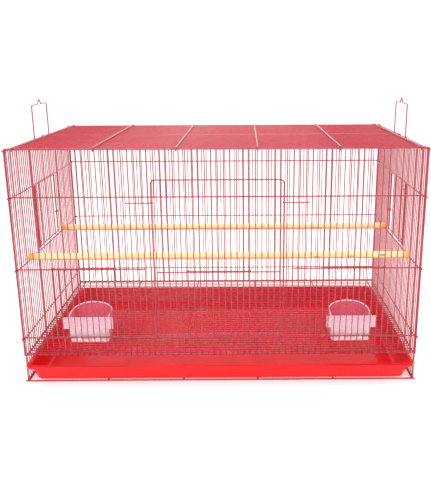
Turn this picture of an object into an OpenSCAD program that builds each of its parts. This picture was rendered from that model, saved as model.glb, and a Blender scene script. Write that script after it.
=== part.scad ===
// Wire flight cage for small birds: welded wire panels on a base frame, a slide-out
// tray, a hinged front door, sliding feeder doors, side nest doors, bail handles,
// two perches and two hooded feed cups. +X is the cage's right, -Y its front, +Z up.
// The cage stands on z = 0.

/* [Cage] */
// Width between the end wires of the front panel
cage_w = 762; // [700:2:920]
// Depth between the front and back panels
cage_d = 457; // [400:1:560]
// Height of the panels above the ground
cage_h = 457; // [440:1:560]

/* [Levels] */
// Height of the floor grille
floor_z = 56; // [52:0.5:64]
// Height of the low rail, which is also the front door's hinge
low_rail_z = 92; // [86:0.5:98]
// Height of the middle rail, where the perches sit
mid_rail_z = 230; // [224:1:240]
// Height of the high rail
high_rail_z = 368; // [352:1:380]

/* [Wire] */
// Thickness of the upright wires and of the grille's wires
bar_d = 2; // [1.6:0.1:2.4]
// Thickness of the rails that the uprights are welded to
rail_d = 2.5; // [2.2:0.1:3]
// Thickness of the base frame's wire and of the top panel's cross bars
frame_d = 3; // [2.6:0.1:3.6]
// Nominal spacing of the uprights; it is rounded so that they divide the cage evenly
bar_pitch = 11.5; // [10.6:0.1:12.8]
// How deep two welded wires sink into each other
weld = 0.15; // [0.1:0.05:0.3]

/* [Fits] */
// Gap between a moving piece and what it moves on
gap = 0.35; // [0.3:0.05:0.5]
// Gap between two fixed pieces that lie against each other
touch = 0.1; // [0.05:0.05:0.2]

/* [Front door] */
// Width between the front door's side wires
door_w = 242; // [196:1:265]
// Height of the front door's top bar above the ground
door_top_z = 400; // [392:1:425]
// Height of the door's bottom bar above its hinge
door_sill = 7; // [6.5:0.5:9]
// Height of the bar across the door above the feeder opening
door_mid_z = 225; // [210:1:235]
// Height of the two door latches
latch_z = 358; // [330:1:358]

/* [Feeder doors] */
// Width of a feeder door between its two guide wires
feeder_w = 115; // [92:1:139]
// Distance of the outer feeder doors from the cage's middle
feeder_x = 254; // [228:1:278]

/* [Nest doors] */
// Width of the opening in each side panel
nest_w = 137; // [114:1:160]
// Height of a nest door's latch
nest_latch_z = 276; // [262:1:340]

/* [Handles] */
// Distance between a handle's two legs
handle_w = 103; // [80:1:126]
// Height of a handle above its hinge, at its shoulders
handle_h = 69; // [50:1:90]
// Height of the peak in the middle of a handle
peak_h = 10; // [6:1:14]

/* [Tray] */
// Height of the tray's rim above the ground
rim_z = 40; // [34:1:46]
// Width of the tray's turned-down rim
rim_w = 10; // [7:0.5:12]
// How far the tray's rim stands out in front of the front panel
tray_out = 20; // [10:1:30]
// Height of the rim's outer lip
lip_h = 5; // [4:0.5:10]
// How far the tray's wall leans in between rim and bottom
tray_lean = 8; // [6:1:16]
// Thickness of the tray's sheet
sheet = 2; // [1.6:0.1:2.6]

/* [Perches] */
// Thickness of a perch
perch_d = 14; // [10:0.5:16]
// Place of the front perch along the cage's depth
perch_front_y = -154; // [-170:1:-130]
// Place of the back perch along the cage's depth
perch_back_y = 88; // [60:1:150]

/* [Feed cups] */
// Width of a cup's body at the top
cup_w = 80; // [66:1:84]
// Depth of a cup from front to back
cup_l = 60; // [45:1:60]
// Height of a cup's bottom above the ground
cup_z = 80; // [76:1:84]
// Height of a cup's front wall
cup_front_h = 53; // [40:1:60]
// Height of the middle of a cup's arched back wall
cup_back_h = 65; // [56:1:75]
// How far the arch drops from its middle to the cup's sides
cup_arch = 10; // [4:1:14]
// Width of each ear at a cup's front corners
ear_w = 8; // [5:0.5:10]
// Thickness of a cup's walls
cup_wall = 1.8; // [1.5:0.1:2.4]

/* [Hidden] */

wire_red = [0.80, 0.13, 0.20];
tray_red = [0.93, 0.06, 0.10];
pine = [0.93, 0.85, 0.58];
cup_white = [0.94, 0.90, 0.90];

// Spacing that divides the width and the depth evenly
half_n = round(cage_w / 2 / bar_pitch);
px = cage_w / 2 / half_n;
half_m = round(cage_d / 2 / bar_pitch);
py = cage_d / 2 / half_m;

// From an upright's axis to the axis of a rail that is welded to it
step = (bar_d + rail_d) / 2 - weld;
// How far an upright runs on past the rail that it ends at
stub = 0.4;
// From a rail's axis to the end of an upright that stops at it
past_rail = rail_d / 2 + stub;
// The side panels' rails pass just under the front and back panels' rails
side_drop = rail_d + touch;

front_y = -cage_d / 2;
front_rail_y = front_y + step;
top_z = cage_h - 2;
side_top_z = top_z - side_drop;
// Side uprights stand a little inside the front panel's end wire, so that the side
// rails can hook round that wire
hook_r = (bar_d + rail_d) / 2 + touch + 0.05;
side_rail_x = cage_w / 2 - hook_r;
side_x = side_rail_x + step;
side_edge_y = cage_d / 2 - bar_d / 2 - rail_d - 1;

// Cross bars: equal bays, each moved aside where it would meet an upright's end
end_inset = 15;
bay = (cage_w - 2 * end_inset) / 5;
bar_room = (bar_d + frame_d) / 2 + 0.2;
function beside_bar(x) = let (k = round(x / px), off = x - k * px)
    abs(off) < bar_room ? k * px + (off < 0 ? -1 : 1) * bar_room : x;
cross_xs = [for (i = [-2.5 : 1 : 2.5]) beside_bar(i * bay)];
end_bar_x = cross_xs[5];

// Top panel: the wires that hook over the side rails lie in the layer of thin wires
top_wire_z = top_z + (rail_d - bar_d) / 2 + touch + weld + 0.05;
cross_z = top_wire_z + (bar_d + frame_d) / 2 - weld;
curl_r = cross_z - top_z;
side_curl_r = top_wire_z - side_top_z;
corner_hook_y = (half_m - 0.7) * py;
middle_hook_y = py / 2;

// Front door: its wires stand in front of the panel's uprights
door_k = round(door_w / 2 / px - 0.5);
door_x = (door_k + 0.5) * px;
door_y = front_y - bar_d / 2 - gap - rail_d / 2;
door_bar_y = door_y - step;
door_sill_z = low_rail_z + door_sill;

door_corner = 8;

// Feeder doors: eyes at the corners slide on two uprights
feeder_bar_d = 2.4;
eye_d = 2;
feeder_k = round(feeder_w / 2 / px);
feeder_centre_k = round(feeder_x / px);
eye_r = bar_d / 2 + gap + eye_d / 2;
feeder_off = bar_d / 2 + gap + feeder_bar_d / 2 + 0.1;
feeder_grid_off = feeder_off + (feeder_bar_d + bar_d) / 2 - weld;
eye_rise = rail_d / 2 + gap + feeder_bar_d / 2;

// Nest doors
nest_k = round(nest_w / 2 / py);
nest_side = nest_k * py;
nest_free_y = nest_side + 4.2;
nest_off = bar_d / 2 + gap + rail_d / 2;
nest_bottom_z = mid_rail_z + 0.8;
nest_top_z = high_rail_z - side_drop - rail_d / 2 - rail_d;

// Latches: an eye on the door's wire and an arm whose tip dips between two uprights
latch_d = 2.2;
latch_eye_r = rail_d / 2 + gap + eye_d / 2;
latch_off = rail_d / 2 + gap + latch_d / 2 + 0.05;
front_latch_tail = 3;
nest_latch_tail = 0.5;

// Handles: an eye at each foot round the side panel's top rail
handle_eye_d = 2.3;
handle_d = 2.5;
handle_eye_r = rail_d / 2 + gap + handle_eye_d / 2;
handle_y = (round(handle_w / 2 / py - 0.5) + 0.5) * py;
peak_w = 24;

// Base and tray
rack_x = side_x - bar_d / 2 - frame_d / 2 - touch;
side_foot_z = frame_d + touch + rail_d / 2;
grille_z = floor_z - side_drop + rail_d / 2 + touch + bar_d / 2;
tray_z = frame_d + gap;
tray_x = side_x - bar_d / 2 - 1.7;
tray_front = cage_d / 2 + tray_out;
tray_back = cage_d / 2 - 4;
tray_corner = 16;
tray_edge = 3;

// Perches
perch_x = side_x - bar_d / 2 - 0.5;
perch_notch = 1;
perch_z = mid_rail_z - side_drop + rail_d / 2 + gap + perch_d / 2 - perch_notch;

// Feed cups
cup_y = front_rail_y + rail_d / 2 + gap;
cup_taper = 4;
cup_corner = 5;
cup_round = 20;
hook_t = 1.5;
hook_w = 5;
ear_h = 24;

// Everything stands so that the whole cage's box is centred over the origin
front_reach = max(tray_front, -(door_bar_y - feeder_grid_off - bar_d / 2));
back_reach = cage_d / 2 + hook_r + rail_d / 2;
seat_y = (front_reach - back_reach) / 2;

module seated() translate([0, seat_y, 0]) children();

// ---- straight and bent wire ----
// Plain wire has eight flats; wire that something turns or slides on is round.
module wire(len, d, round_wire = false)
    rotate([0, 0, 22.5])
        cylinder(h = len, d = round_wire ? d : d / cos(22.5), $fn = round_wire ? 32 : 8);

module wire_x(x0, x1, y, z, d, round_wire = false)
    translate([x0, y, z]) rotate([0, 90, 0]) wire(x1 - x0, d, round_wire);

module wire_y(y0, y1, x, z, d, round_wire = false)
    translate([x, y0, z]) rotate([-90, 0, 0]) wire(y1 - y0, d, round_wire);

module wire_z(z0, z1, x, y, d, round_wire = false)
    translate([x, y, z0]) wire(z1 - z0, d, round_wire);

// A bend about +Z, from angle a0 anticlockwise through turn degrees
module bend(r, a0, turn, d, round_wire = false)
    rotate([0, 0, a0])
        rotate_extrude(angle = turn, $fn = 64)
            translate([r, 0])
                rotate([0, 0, 22.5])
                    circle(d = round_wire ? d : d / cos(22.5), $fn = round_wire ? 32 : 8);

// A closed eye about +Z
module eye(r, d)
    rotate_extrude($fn = 64) translate([r, 0]) circle(d = d, $fn = 32);

function unit(v) = v / norm(v);
function turn_at(pts, i) = let (u = unit(pts[i] - pts[i - 1]), v = unit(pts[i + 1] - pts[i]))
    atan2(u.x * v.y - u.y * v.x, u * v);
function trim_at(pts, i, r) = i == 0 || i == len(pts) - 1 ? 0 : r * tan(abs(turn_at(pts, i)) / 2);

// Round wire along points in the XY plane, with each corner bent to radius r
module bent_wire(pts, r, d) {
    for (i = [0 : len(pts) - 2]) {
        u = unit(pts[i + 1] - pts[i]);
        from = pts[i] + u * trim_at(pts, i, r);
        to = pts[i + 1] - u * trim_at(pts, i + 1, r);
        translate([from.x, from.y, 0])
            rotate([0, 0, atan2(u.y, u.x)])
                rotate([0, 90, 0])
                    wire(norm(to - from), d, true);
    }
    for (i = [1 : len(pts) - 2]) {
        u = unit(pts[i] - pts[i - 1]);
        turn = turn_at(pts, i);
        start = pts[i] - u * trim_at(pts, i, r);
        centre = start + sign(turn) * r * [-u.y, u.x];
        a = atan2(start.y - centre.y, start.x - centre.x);
        translate([centre.x, centre.y, 0])
            bend(r, turn > 0 ? a : a + turn, abs(turn), d, true);
    }
}

module in_xz(y) translate([0, y, 0]) rotate([90, 0, 0]) children();
module in_yz(x) translate([x, 0, 0]) rotate([90, 0, 90]) children();

// ---- base and grilles ----
module base_frame() color(wire_red) seated() {
    for (s = [-1, 1])
        wire_x(-cage_w / 2 - 3, cage_w / 2 + 3, s * cage_d / 2, frame_d / 2, frame_d);
    reach = (cage_d - frame_d) / 2 + weld;
    for (x = [-rack_x, for (i = [1 : 4]) cross_xs[i], rack_x])
        wire_y(-reach, reach, x, frame_d / 2, frame_d);
}

module floor_grille() color(wire_red) seated() {
    reach = side_x - bar_d / 2 - 0.3;
    edge = cage_d / 2 - step - rail_d / 2 - bar_d / 2 - 0.65;
    for (y = [-edge, for (k = [1 - half_m : half_m - 1]) k * py, edge])
        wire_x(-reach, reach, y, grille_z, bar_d);
    for (x = cross_xs)
        wire_y(-edge - 1.3, edge + 1.3, x, grille_z - step, rail_d);
}

// ---- front and back panels ----
module panel_rails(levels) {
    for (z = levels)
        wire_x(-cage_w / 2 - stub, cage_w / 2 + stub, front_rail_y, z, rail_d);
}

module upright(k, z0, z1, round_wire = false)
    wire_z(z0, z1, k * px, front_y, bar_d, round_wire);

function behind_feeder(k) = abs(abs(k) - feeder_centre_k) < feeder_k;
function is_guide(k) = abs(abs(k) - feeder_centre_k) == feeder_k;

module front_panel() color(wire_red) seated() {
    panel_rails([floor_z, low_rail_z, high_rail_z, top_z]);
    for (s = [-1, 1]) {
        x0 = (door_k + 2) * px - stub;
        x1 = cage_w / 2 + stub;
        wire_x(s < 0 ? -x1 : x0, s < 0 ? -x0 : x1, front_rail_y, mid_rail_z, rail_d);
    }
    for (k = [-half_n : half_n]) {
        cut = abs(k) <= door_k || behind_feeder(k);
        over = abs(k) <= door_k ? high_rail_z : mid_rail_z;
        if (cut) {
            upright(k, floor_z - rail_d / 2, low_rail_z + past_rail);
            upright(k, over - past_rail, top_z + rail_d / 2);
        } else
            upright(k, floor_z - rail_d / 2, top_z + rail_d / 2, is_guide(k));
    }
}

module back_panel() color(wire_red) seated() mirror([0, 1, 0]) {
    panel_rails([floor_z, low_rail_z, mid_rail_z, high_rail_z, top_z]);
    for (k = [-half_n : half_n])
        upright(k, floor_z - rail_d / 2, top_z + rail_d / 2);
}

// ---- side panels ----
// A rail whose two ends hook round the corner wires of the front and back panels
module hooked_rail(z, round_wire = false) {
    wire_y(-cage_d / 2, cage_d / 2, side_rail_x, z, rail_d, round_wire);
    for (s = [-1, 1])
        translate([cage_w / 2, s * cage_d / 2, z]) {
            bend(hook_r, s < 0 ? 180 : 0, 180, rail_d, round_wire);
            translate([hook_r, 0, 0]) rotate([s * 90, 0, 0]) wire(6, rail_d, round_wire);
        }
}

module side_upright(y, z0, z1, round_wire = false)
    wire_z(z0, z1, side_x, y, bar_d, round_wire);

module side_panel() {
    foot = 0.3;
    top = side_top_z + rail_d / 2 + 1.2;
    for (z = [side_foot_z, floor_z - side_drop])
        wire_y(-side_edge_y - 1.5, side_edge_y + 1.5, side_rail_x, z, rail_d);
    for (z = [low_rail_z, mid_rail_z, high_rail_z])
        hooked_rail(z - side_drop);
    hooked_rail(side_top_z, true);
    for (s = [-1, 1])
        side_upright(s * side_edge_y, foot, top);
    for (k = [1 - half_m : half_m - 1])
        if (abs(k) < nest_k) {
            side_upright(k * py, foot, mid_rail_z - side_drop + past_rail);
            side_upright(k * py, high_rail_z - side_drop - past_rail, top);
        } else
            side_upright(k * py, foot, top, abs(k) == nest_k);
}

module left_panel() color(wire_red) seated() mirror([1, 0, 0]) side_panel();
module right_panel() color(wire_red) seated() side_panel();

// ---- top panel ----
module top_panel() color(wire_red) seated() {
    for (k = [2 - half_m : half_m - 2])
        wire_x(-end_bar_x, end_bar_x, k * py, top_wire_z, bar_d);
    for (y = [-corner_hook_y, middle_hook_y, corner_hook_y]) {
        wire_x(-side_rail_x, side_rail_x, y, top_wire_z, rail_d);
        for (s = [0, 1])
            mirror([s, 0, 0])
                translate([side_rail_x, y, side_top_z])
                    rotate([90, 0, 180])
                        bend(side_curl_r, 90, 150, rail_d);
    }
    for (x = cross_xs) {
        wire_y(front_rail_y, -front_rail_y, x, cross_z, frame_d);
        for (s = [0, 1])
            mirror([0, s, 0])
                translate([x, front_rail_y, top_z])
                    rotate([90, 0, 90])
                        bend(curl_r, 90, 165, frame_d);
    }
}

// ---- tray ----
module tray_slab(inset, r, h)
    linear_extrude(h)
        hull()
            for (x = [-1, 1], y = [-tray_front + inset + r, tray_back - inset - r])
                translate([x * (tray_x - inset - r), y]) circle(r, $fn = 32);

// The pan is widest at the rim and rounds in above its flat bottom
module tray_pan(inset, bottom, rim)
    hull() {
        translate([0, 0, bottom]) tray_slab(inset + tray_lean + tray_edge, tray_corner, 0.1);
        translate([0, 0, bottom + tray_edge]) tray_slab(inset + tray_lean, tray_corner, 0.1);
        translate([0, 0, rim - 0.1]) tray_slab(inset, tray_corner, 0.1);
    }

module tray() color(tray_red) seated() {
    difference() {
        union() {
            tray_pan(rim_w, tray_z, rim_z);
            translate([0, 0, rim_z - sheet]) tray_slab(0, tray_corner, sheet);
            difference() {
                translate([0, 0, rim_z - lip_h]) tray_slab(0, tray_corner, lip_h);
                translate([0, 0, rim_z - lip_h - 1])
                    tray_slab(sheet, tray_corner - sheet, lip_h);
            }
        }
        tray_pan(rim_w + sheet, tray_z + sheet, rim_z + 0.2);
    }
}

// ---- front door and its latches ----
module front_door() color(wire_red) seated() {
    in_xz(door_y)
        bent_wire([[-door_x, low_rail_z], [-door_x, door_top_z], [door_x, door_top_z],
            [door_x, low_rail_z]], door_corner, rail_d);
    for (s = [-1, 1])
        translate([s * door_x, front_rail_y, low_rail_z])
            rotate([0, 90, 0])
                eye(rail_d / 2 + gap + rail_d / 2, rail_d);
    wire_x(-door_x, door_x, door_y, door_sill_z, rail_d);
    wire_x(-door_k * px, door_k * px, door_y, door_mid_z, rail_d);
    for (k = [-door_k : door_k]) {
        z0 = abs(k) < feeder_k ? door_mid_z : door_sill_z;
        wire_z(z0 - past_rail, door_top_z + past_rail, k * px, door_bar_y, bar_d,
            abs(k) == feeder_k);
    }
}

// An eye about +Z at the origin, an arm along +X in front of it that starts tail behind
// the eye's middle, and a tip turned back towards the uprights by dip
module latch(tail, reach, dip) {
    eye(latch_eye_r, eye_d);
    bent_wire([[-tail, -latch_off], [reach, -latch_off], [reach, dip]], 2.5, latch_d);
}

module front_latch() {
    dip = front_y - door_y + 2;
    translate([door_x, door_y, latch_z])
        latch(front_latch_tail, (door_k + 4.5) * px - door_x, dip);
}

module front_latch_left() color(wire_red) seated() mirror([1, 0, 0]) front_latch();
module front_latch_right() color(wire_red) seated() front_latch();

// ---- feeder doors ----
// Its guide wires stand at y = 0 and its lower eyes at z = 0, its upper ones at z = top
module feeder_door(top) {
    half = feeder_k * px;
    for (z = [0, top]) {
        for (s = [-1, 1])
            translate([s * half, 0, z]) eye(eye_r, eye_d);
        wire_x(-half - 3, half + 3, -feeder_off, z, feeder_bar_d);
    }
    for (k = [-feeder_k : feeder_k])
        wire_z(-feeder_bar_d / 2 - stub + 0.1, top + feeder_bar_d / 2 + stub, k * px,
            -feeder_grid_off, bar_d);
}

module panel_feeder_door(s)
    translate([s * feeder_centre_k * px, front_y, low_rail_z + eye_rise])
        feeder_door(mid_rail_z - low_rail_z);

module feeder_door_left() color(wire_red) seated() panel_feeder_door(-1);
module feeder_door_right() color(wire_red) seated() panel_feeder_door(1);
module feeder_door_middle() color(wire_red) seated()
    translate([0, door_bar_y, door_sill_z + eye_rise]) feeder_door(door_mid_z - door_sill_z);

// ---- nest doors and their latches ----
module nest_door() {
    x = side_x + nest_off;
    in_yz(x)
        bent_wire([[-nest_side, nest_bottom_z - 2], [-nest_side, nest_top_z],
            [nest_free_y, nest_top_z], [nest_free_y, nest_bottom_z], [-nest_side, nest_bottom_z]],
            4, rail_d);
    for (z = [nest_bottom_z + 12, nest_top_z - 12])
        translate([side_x, -nest_side, z]) eye(bar_d / 2 + gap + eye_d / 2, eye_d);
    for (k = [1 - nest_k : nest_k - 1])
        wire_z(nest_bottom_z - past_rail, nest_top_z + past_rail, x + step, k * py, bar_d);
}

module nest_door_left() color(wire_red) seated() mirror([1, 0, 0]) nest_door();
module nest_door_right() color(wire_red) seated() nest_door();

module nest_latch()
    translate([side_x + nest_off, nest_free_y, nest_latch_z])
        rotate([0, 0, 90])
            latch(nest_latch_tail, (nest_k + 1.5) * py - nest_free_y, nest_off - 0.4);

module nest_latch_left() color(wire_red) seated() mirror([1, 0, 0]) nest_latch();
module nest_latch_right() color(wire_red) seated() nest_latch();

// ---- handles ----
// The peak in the middle is three short bends, each drawn as a small ball
module handle() {
    shoulder = side_top_z + handle_h;
    foot = side_top_z + handle_eye_r;
    slope = norm([peak_w / 2, peak_h]);
    in_yz(side_rail_x) {
        for (s = [0, 1])
            mirror([s, 0, 0]) {
                bent_wire([[handle_y, foot], [handle_y, shoulder], [peak_w / 2, shoulder]],
                    5, handle_d);
                translate([peak_w / 2, shoulder, 0]) {
                    sphere(d = handle_d + 0.4, $fn = 12);
                    rotate([0, 0, atan2(peak_h, -peak_w / 2)])
                        rotate([0, 90, 0])
                            wire(slope, handle_d, true);
                }
            }
        translate([0, shoulder + peak_h, 0]) sphere(d = handle_d + 0.4, $fn = 12);
    }
    for (s = [-1, 1])
        translate([side_rail_x, s * handle_y, side_top_z])
            rotate([90, 0, 0])
                eye(handle_eye_r, handle_eye_d);
}

module handle_left() color(wire_red) seated() mirror([1, 0, 0]) handle();
module handle_right() color(wire_red) seated() handle();

// ---- perches ----
// A round stick; each end is notched underneath to sit on the side panel's rail
module perch(y)
    translate([0, y, perch_z])
        difference() {
            rotate([0, 90, 0]) cylinder(h = 2 * perch_x, d = perch_d, center = true, $fn = 64);
            for (s = [-1, 1])
                translate([s * side_rail_x, 0, -perch_d / 2])
                    cube([rail_d + 2 * gap, perch_d, 2 * perch_notch], center = true);
        }

module perch_front() color(pine) seated() perch(perch_front_y);
module perch_back() color(pine) seated() perch(perch_back_y);

// ---- feed cups ----
// Front face at y = 0, bottom at z = 0; small corners in front and wide ones behind
module cup_slab(inset, z, h)
    translate([0, 0, z])
        linear_extrude(h)
            hull()
                for (s = [-1, 1]) {
                    translate([s * (cup_w / 2 - inset - cup_corner), inset + cup_corner])
                        circle(cup_corner, $fn = 24);
                    translate([s * (cup_w / 2 - inset - cup_round), cup_l - inset - cup_round])
                        circle(cup_round, $fn = 40);
                }

module cup_bucket(inset, z0, z1)
    hull() {
        cup_slab(inset + cup_taper, z0, 0.1);
        cup_slab(inset + cup_taper / 2, z0 + 3, 0.1);
        cup_slab(inset, z1 - 0.1, 0.1);
    }

// The side walls' top edge swings up from the low front wall to the arched back
function rim_h(y) = let (t = min(max((y - 8) / (cup_l * 0.55), 0), 1))
    cup_front_h + (cup_back_h - cup_front_h) * (1 - cos(180 * t)) / 2;

// The arch of the back wall, seen from the front
function arch_h(x) = cup_back_h - cup_arch * pow(2 * x / cup_w, 2);

module cup_arch_front() {
    half = cup_w / 2 + 1;
    translate([0, cup_l + 1, 0])
        rotate([90, 0, 0])
            linear_extrude(cup_l + 2)
                polygon(concat([for (i = [-12 : 12]) let (x = half * i / 12) [x, arch_h(x)]],
                    [[half, -1], [-half, -1]]));
}

module cup(s)
    translate([s * feeder_centre_k * px, cup_y, cup_z]) {
        intersection() {
            difference() {
                cup_bucket(0, 0, cup_back_h + 1);
                cup_bucket(cup_wall, cup_wall, cup_back_h + 2);
                rotate([90, 0, 90])
                    linear_extrude(cup_w + 2, center = true)
                        polygon(concat([for (i = [0 : 20]) let (y = -1 + i * (cup_l + 2) / 20)
                            [y, rim_h(y)]], [[cup_l + 1, cup_back_h + 3], [-1, cup_back_h + 3]]));
            }
            cup_arch_front();
        }
        for (e = [-1, 1]) {
            translate([e > 0 ? cup_w / 2 - 3 : -cup_w / 2 - ear_w, 0, cup_front_h - ear_h])
                cube([ear_w + 3, cup_wall, ear_h]);
            translate([e * 1.5 * px - hook_w / 2, 0, 0]) cup_hook();
        }
    }

// A tab that reaches over the low rail and down in front of it, between two uprights
module cup_hook() {
    over = low_rail_z + rail_d / 2 + gap - cup_z;
    out = rail_d + 2 * gap;
    translate([0, -out, over]) cube([hook_w, out + cup_wall, hook_t]);
    translate([0, -out - hook_t, over - 6]) cube([hook_w, hook_t, 6 + hook_t]);
    translate([0, 0, over - 4]) cube([hook_w, cup_wall, 4 + hook_t]);
}

module cup_left() color(cup_white) seated() cup(-1);
module cup_right() color(cup_white) seated() cup(1);

base_frame();
floor_grille();
front_panel();
back_panel();
left_panel();
right_panel();
top_panel();
tray();
front_door();
front_latch_left();
front_latch_right();
feeder_door_left();
feeder_door_right();
feeder_door_middle();
nest_door_left();
nest_door_right();
nest_latch_left();
nest_latch_right();
handle_left();
handle_right();
perch_front();
perch_back();
cup_left();
cup_right();
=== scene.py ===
# %% [markdown]
# A wire flight cage, modelled as a lesson
#
# The cage is welded steel wire with a red powder coat. It has a moulded tray, pine
# perches and thin plastic feed cups. Almost all of it is one idea, a round wire that is
# cut, bent and welded, so this script first makes tools for wire and then builds panel
# after panel with them. The plain CAD model is loaded first, and every new piece is
# measured against the CAD node that it stands for.

# %% Load the frame
import math

import bpy
from mathutils import Matrix, Vector


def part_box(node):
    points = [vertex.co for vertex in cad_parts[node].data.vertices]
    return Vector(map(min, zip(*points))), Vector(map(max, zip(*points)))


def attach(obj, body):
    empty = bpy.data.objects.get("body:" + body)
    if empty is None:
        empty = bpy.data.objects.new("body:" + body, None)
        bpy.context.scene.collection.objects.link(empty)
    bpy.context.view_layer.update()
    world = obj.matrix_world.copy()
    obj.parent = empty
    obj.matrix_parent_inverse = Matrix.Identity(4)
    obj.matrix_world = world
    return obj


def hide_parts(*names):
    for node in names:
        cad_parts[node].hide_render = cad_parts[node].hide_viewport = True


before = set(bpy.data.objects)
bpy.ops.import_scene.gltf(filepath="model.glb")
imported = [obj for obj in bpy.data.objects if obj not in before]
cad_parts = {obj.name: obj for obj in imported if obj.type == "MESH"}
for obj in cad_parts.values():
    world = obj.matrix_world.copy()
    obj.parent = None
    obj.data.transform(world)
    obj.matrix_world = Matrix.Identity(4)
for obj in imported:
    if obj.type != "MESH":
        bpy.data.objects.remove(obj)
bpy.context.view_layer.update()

MM = 0.001
X, Y, Z = Vector((1, 0, 0)), Vector((0, 1, 0)), Vector((0, 0, 1))

# %% [markdown]
# The sizes of the cage, in millimetres. The cage is symmetrical about its own middle,
# but the whole model's box is what stands over the origin, so the cage's middle lies a
# little behind it. The base frame shows by how much. Every point below is given from the
# cage's middle, and at() turns it into metres in the shared frame.

# %% Sizes
base_low, base_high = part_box("base_frame")
cage_middle_y = (base_low.y + base_high.y) / 2

width, depth = 762.0, 457.0
bar, rail, heavy = 2.0, 2.5, 3.0
bays_x, bays_y = 33, 20
pitch_x, pitch_y = width / 2 / bays_x, depth / 2 / bays_y
step = 2.1
past = 1.65
front = -depth / 2
front_rail = front + step
levels = [56.0, 92.0, 230.0, 368.0, 455.0]
hook_r = 2.4
side_rail = width / 2 - hook_r
side_bar = side_rail + step
side_edge = 224.0
cross_bars = [-366.0, -222.06, -73.2, 73.2, 222.06, 366.0]
slide_gap = 0.35


def at(x, y, z):
    return Vector((x, y, z)) * MM + Y * cage_middle_y


print("the cage's middle lies", round(cage_middle_y / MM, 3), "mm behind the origin")

# %% [markdown]
# The camera stands in front and a little above, and looks slightly down. It is placed
# first, so that any later step can be looked at. The lens shift moves the picture in its
# frame without tilting the camera, as a view camera does, and keeps the uprights upright.

# %% Camera
def turned(yaw, pitch, roll):
    """A camera turn from a level view along +Y: yaw to the left, pitch up and roll."""
    turns = ((yaw, "Z"), (pitch, "X"), (roll, "Y"))
    a, b, c = (Matrix.Rotation(math.radians(angle), 3, axis) for angle, axis in turns)
    return (a @ b @ c).to_quaternion()


LEVEL = Matrix.Rotation(math.pi / 2, 3, "X").to_quaternion()
bpy.ops.object.camera_add(location=at(51, -1420, 605))
camera = bpy.context.object
camera.rotation_mode = "QUATERNION"
camera.rotation_quaternion = turned(-0.36, -16.16, 0.23) @ LEVEL
camera.data.lens = 47.8
camera.data.sensor_width = 36
camera.data.shift_x = -0.0688
camera.data.shift_y = 0.0076
bpy.context.scene.camera = camera

# %% [markdown]
# Plain studio light: a pale world fills the shadows, one wide soft lamp stands above and
# in front, and a weaker one on the other side keeps the dark side open. The floor is a
# large sheet that rises in a curve far behind the cage, so no horizon shows.

# %% Light and floor
def deselect():
    if bpy.context.mode != "OBJECT":
        bpy.ops.object.mode_set(mode="OBJECT")
    bpy.ops.object.select_all(action="DESELECT")


def pick(*pieces):
    deselect()
    for piece in pieces:
        piece.select_set(True)
    bpy.context.view_layer.objects.active = pieces[0]


def keep_place():
    bpy.ops.object.transform_apply(location=True, rotation=True, scale=True)


def apply(piece):
    """Applies all of a piece's modifiers, as they stand."""
    pick(piece)
    for modifier in [m.name for m in piece.modifiers]:
        bpy.ops.object.modifier_apply(modifier=modifier)


def faces_where(test):
    """In edit mode, selects the faces whose centre and normal pass the test."""
    mesh = bpy.context.object.data
    bpy.ops.mesh.select_mode(type="FACE")
    bpy.ops.mesh.select_all(action="DESELECT")
    bpy.ops.object.mode_set(mode="OBJECT")
    for face in mesh.polygons:
        face.select = test(face.center, face.normal)
    bpy.ops.object.mode_set(mode="EDIT")


def edges_where(test):
    """In edit mode, selects the edges whose two ends pass the test."""
    mesh = bpy.context.object.data
    bpy.ops.mesh.select_mode(type="EDGE")
    bpy.ops.mesh.select_all(action="DESELECT")
    bpy.ops.object.mode_set(mode="OBJECT")
    for edge in mesh.edges:
        a, b = (mesh.vertices[i].co for i in edge.vertices)
        edge.select = test(a, b)
    bpy.ops.object.mode_set(mode="EDIT")


def lamp(name, place, target, size, power):
    deselect()
    bpy.ops.object.light_add(type="AREA", location=place)
    light = bpy.context.object
    light.name = name
    light.data.shape = "DISK"
    light.data.size = size
    light.data.energy = power
    light.rotation_mode = "QUATERNION"
    light.rotation_quaternion = (Vector(target) - light.location).to_track_quat("-Z", "Y")


world = bpy.data.worlds.new("studio")
world.use_nodes = True
world.node_tree.nodes["Background"].inputs["Color"].default_value = (1, 1, 1, 1)
world.node_tree.nodes["Background"].inputs["Strength"].default_value = 0.8
bpy.context.scene.world = world
bpy.context.scene.view_settings.view_transform = "Standard"
lamp("key", (-0.9, -2.2, 1.5), (0, 0, 0.2), 1.4, 26)
lamp("fill", (1.8, -1.2, 1.3), (0, 0, 0.2), 1.4, 10)
lamp("top", (0.1, 0.6, 2.2), (0, 0, 0.3), 1.4, 20)

below_feet = 0.0002
deselect()
bpy.ops.mesh.primitive_plane_add(size=12, location=(0, -1, -below_feet))
floor = bpy.context.object
floor.name = "floor"
keep_place()
bpy.ops.object.mode_set(mode="EDIT")
edges_where(lambda a, b: a.y > 4.9 and b.y > 4.9)
bpy.ops.mesh.extrude_region_move(TRANSFORM_OT_translate={"value": (0, 0, 6)})
edges_where(lambda a, b: a.y > 4.9 and b.y > 4.9 and abs(a.z) < 0.01 and abs(b.z) < 0.01)
bpy.ops.mesh.bevel(offset=2.5, segments=16)
bpy.ops.object.mode_set(mode="OBJECT")
bpy.ops.object.shade_smooth()
paper = bpy.data.materials.new("white backdrop paper")
paper.use_nodes = True
paper_shader = paper.node_tree.nodes["Principled BSDF"]
paper_shader.inputs["Base Color"].default_value = (0.95, 0.95, 0.95, 1)
paper_shader.inputs["Roughness"].default_value = 0.9
paper_shader.inputs["Emission Color"].default_value = (1, 1, 1, 1)
paper_shader.inputs["Emission Strength"].default_value = 0.25
floor.data.materials.append(paper)

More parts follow.
